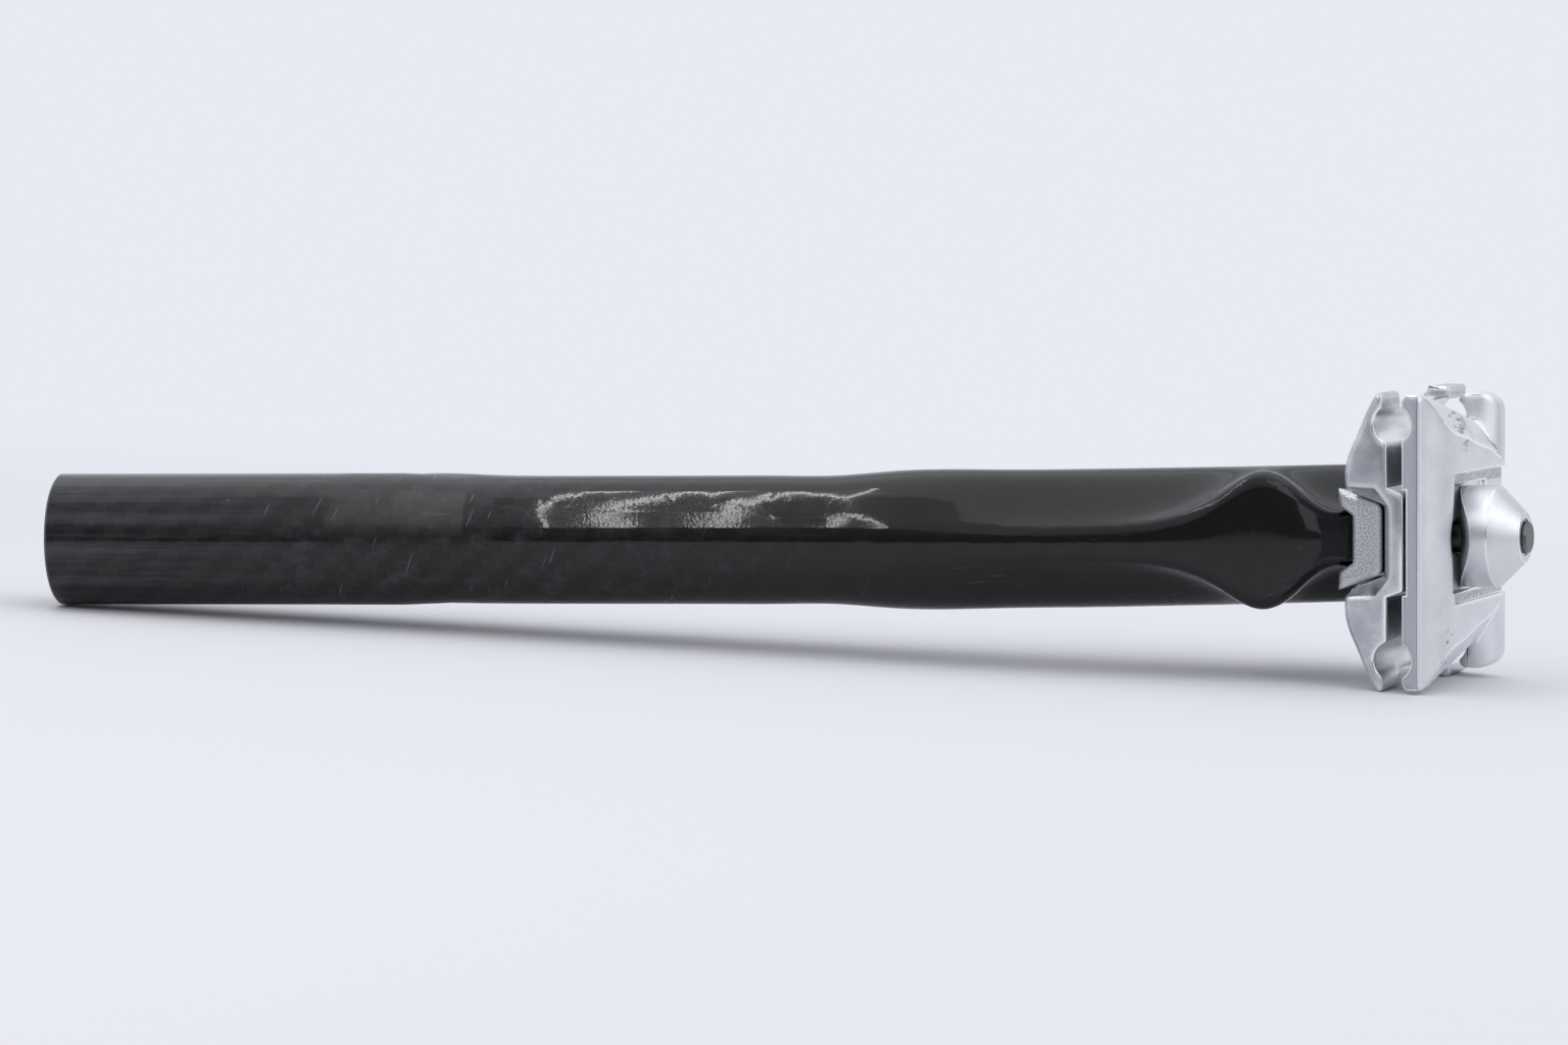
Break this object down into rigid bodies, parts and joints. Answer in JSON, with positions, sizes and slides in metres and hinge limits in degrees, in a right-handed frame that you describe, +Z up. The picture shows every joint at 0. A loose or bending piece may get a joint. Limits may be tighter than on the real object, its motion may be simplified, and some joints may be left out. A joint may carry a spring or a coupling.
{
  "type": "bicycle seatpost",
  "caption": "Dark carbon bicycle seatpost with a swept moulded head and an aluminium saddle rail clamp drawn together by a cone nut.",
  "frame": {"origin": "middle of the bounding box, on the ground plane the post lies on", "axes": "+X from the open lower end towards the saddle clamp, +Y to the rear of the bicycle, +Z up; the post lies on its side"},
  "size_m": [0.2796, 0.0478, 0.0551],
  "materials": {
    "carbon": "gloss",
    "lower_alloy": "satin",
    "upper_alloy": "satin",
    "cradle_alloy": "matte",
    "nut_alloy": "polished",
    "bolt_steel": "satin"
  },
  "bodies": {
    "post": {"post_body": "carbon", "cradle": "cradle_alloy", "bolt_washer": "bolt_steel"},
    "lower_jaw": {"lower_clamp": "lower_alloy"},
    "upper_jaw": {"upper_clamp": "upper_alloy"},
    "bolt": {"clamp_bolt": "bolt_steel"},
    "nut": {"cone_nut": "nut_alloy"}
  },
  "joints": [
    {"name": "clamp_tilt", "type": "hinge", "parent": "post", "child": "lower_jaw", "pos_m": [0.1601, -0.01208, 0.03021], "axis": [-0.0587, 0.018, 0.9981], "range_deg": [-6, 6]},
    {"name": "nut_travel", "type": "slide", "parent": "post", "child": "nut", "axis": [0.9545, -0.2918, 0.0614], "range_m": [0, 0.004]},
    {"name": "bolt_turn", "type": "hinge", "parent": "post", "child": "bolt", "pos_m": [0.12002, 0.00018, 0.02763], "axis": [0.9545, -0.2918, 0.0614], "range_deg": [0, 1460]},
    {"name": "jaw_open", "type": "slide", "parent": "lower_jaw", "child": "upper_jaw", "axis": [0.9545, -0.2918, 0.0614], "range_m": [0, 0.00367]}
  ],
  "couplings": [
    {"joint": "bolt_turn", "follows": "nut_travel", "rad_per_m": 6283.2},
    {"joint": "jaw_open", "follows": "nut_travel", "ratio": 0.9}
  ]
}
